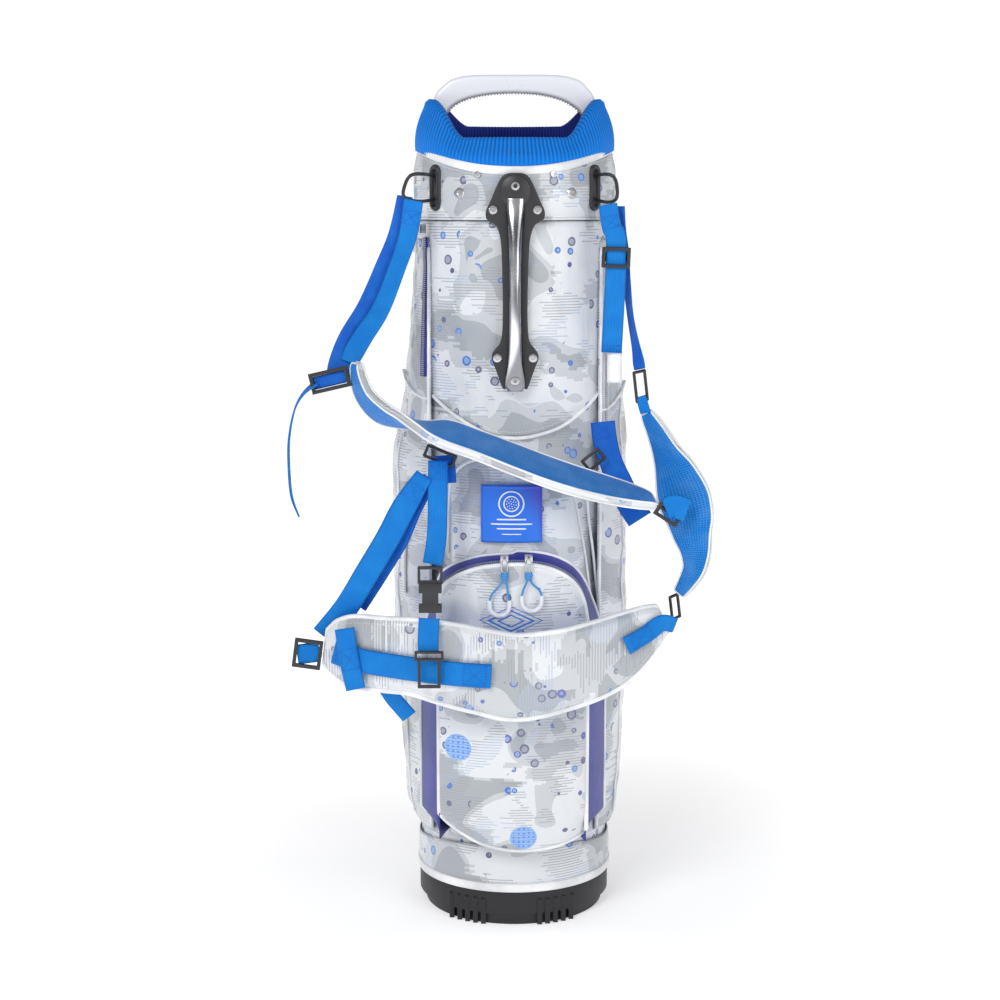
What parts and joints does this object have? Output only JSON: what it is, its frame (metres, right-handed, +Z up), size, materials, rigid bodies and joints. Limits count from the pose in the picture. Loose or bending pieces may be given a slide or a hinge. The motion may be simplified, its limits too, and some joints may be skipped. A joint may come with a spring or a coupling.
{
  "type": "golf stand bag",
  "caption": "Upright golf carry bag with soft cuff, grab arch, zipped pockets, dual shoulder strap harness, side carry handle and fold-out two-leg stand.",
  "frame": {"origin": "centre of the base, on the floor plane, on the bag axis", "axes": "+Z up along the bag, -Y towards the strap side, +Y towards the folded stand, +X to the right seen from the strap side"},
  "size_m": [0.4328, 0.3269, 0.893],
  "materials": {
    "camo_fabric": "satin coated print",
    "blue_webbing": "matt woven",
    "pad_fabric": "matt mesh",
    "blue_knit": "matt rib knit",
    "divider_fabric": "matt",
    "black_plastic": "moulded, fine grain",
    "white_plastic": "satin",
    "patch_rubber": "soft moulded",
    "white_tape": "matt",
    "aluminium": "polished",
    "steel": "plated",
    "black_wire": "satin",
    "stay_fibre": "matt",
    "foot_rubber": "matt"
  },
  "bodies": {
    "bag": {"adjuster_end": "black_plastic", "adjuster_hip": "black_plastic", "adjuster_left": "black_plastic", "anchor_straps": "blue_webbing", "back_pad": "camo_fabric", "back_pad_patch": "blue_webbing", "back_pad_webbing": "blue_webbing", "ball_pocket": "camo_fabric", "base_band": "camo_fabric", "base_floor": "black_plastic", "base_tub": "black_plastic", "bib_panel": "camo_fabric", "body_shell": "camo_fabric", "buckle_socket": "black_plastic", "buckle_strap": "blue_webbing", "buckle_strap_lower": "blue_webbing", "buckle_tongue": "black_plastic", "carry_handle_bar": "aluminium", "carry_handle_frame": "black_plastic", "carry_handle_screws": "steel", "collar_band": "camo_fabric", "collar_ring": "black_plastic", "collar_studs": "steel", "cross_strap": "blue_webbing", "cuff": "blue_knit", "divider_frame": "black_plastic", "divider_panels": "divider_fabric", "foot_plate_pin": "steel", "grab_handle": "white_plastic", "grab_handle_screws": "steel", "label_patch": "patch_rubber", "left_strap": "blue_webbing", "mid_pocket": "camo_fabric", "right_strap": "blue_webbing", "rod_guides": "black_plastic", "shoulder_pad_left": "pad_fabric", "shoulder_pad_right": "pad_fabric", "side_pocket_left": "camo_fabric", "side_pocket_right": "camo_fabric", "spine_stays": "stay_fibre", "stand_bracket": "black_plastic", "stand_pins": "steel", "strap_grommets": "black_plastic", "strap_loops": "black_wire", "strap_rings": "black_wire", "strap_tag": "white_tape", "strap_tails": "blue_webbing"},
    "leg_left": {"stand_leg_left": "aluminium", "leg_foot_left": "foot_rubber"},
    "leg_right": {"stand_leg_right": "aluminium", "leg_foot_right": "foot_rubber"},
    "push_rod": {"push_rod": "steel"},
    "foot_plate": {"foot_plate": "black_plastic"},
    "zip_left": {"ball_slider_left": "steel"},
    "zip_right": {"ball_slider_right": "steel"},
    "pull_left": {"ball_pull_left": "white_plastic"},
    "pull_right": {"ball_pull_right": "white_plastic"},
    "side_zip_upper": {"side_slider_upper": "steel"},
    "side_zip_lower": {"side_slider_lower": "steel"},
    "strap_adjuster": {"adjuster_right": "black_plastic"}
  },
  "joints": [
    {"name": "leg_left_swing", "type": "hinge", "parent": "bag", "child": "leg_left", "pos_m": [-0.04, 0.117, 0.724], "axis": [0.9063, 0.4226, 0], "range_deg": [0, 28]},
    {"name": "leg_right_swing", "type": "hinge", "parent": "bag", "child": "leg_right", "pos_m": [0.04, 0.117, 0.724], "axis": [0.9063, -0.4226, 0], "range_deg": [0, 28]},
    {"name": "rod_slide", "type": "slide", "parent": "bag", "child": "push_rod", "axis": [0, 0, 1], "range_m": [0, 0.0075]},
    {"name": "foot_plate_tilt", "type": "hinge", "parent": "bag", "child": "foot_plate", "pos_m": [0, 0.084, 0.0075], "axis": [1, 0, 0], "range_deg": [0, 12]},
    {"name": "ball_zip_left", "type": "hinge", "parent": "bag", "child": "zip_left", "pos_m": [0.002, -0.133, 0.291], "axis": [0, 1, 0], "range_deg": [-22, 0]},
    {"name": "ball_zip_right", "type": "hinge", "parent": "bag", "child": "zip_right", "pos_m": [0.002, -0.133, 0.291], "axis": [0, 1, 0], "range_deg": [0, 22]},
    {"name": "ball_pull_left_swing", "type": "hinge", "parent": "zip_left", "child": "pull_left", "pos_m": [-0.01081, -0.141, 0.40347], "axis": [-1, 0, 0], "range_deg": [0, 60]},
    {"name": "ball_pull_right_swing", "type": "hinge", "parent": "zip_right", "child": "pull_right", "pos_m": [0.01383, -0.141, 0.40358], "axis": [-1, 0, 0], "range_deg": [0, 60]},
    {"name": "side_zip_upper_slide", "type": "slide", "parent": "bag", "child": "side_zip_upper", "axis": [-0.0131, -0.0852, -0.9963], "range_m": [0, 0.14]},
    {"name": "side_zip_lower_slide", "type": "slide", "parent": "bag", "child": "side_zip_lower", "axis": [0, 0, -1], "range_m": [-0.05, 0.06]},
    {"name": "strap_adjuster_slide", "type": "slide", "parent": "bag", "child": "strap_adjuster", "axis": [-0.0381, 0, -0.9993], "range_m": [0, 0.08]}
  ],
  "couplings": [
    {"joint": "leg_right_swing", "follows": "leg_left_swing", "ratio": 1},
    {"joint": "rod_slide", "follows": "leg_left_swing", "m_per_rad": 0.015},
    {"joint": "foot_plate_tilt", "follows": "leg_left_swing", "ratio": 0.4167}
  ]
}
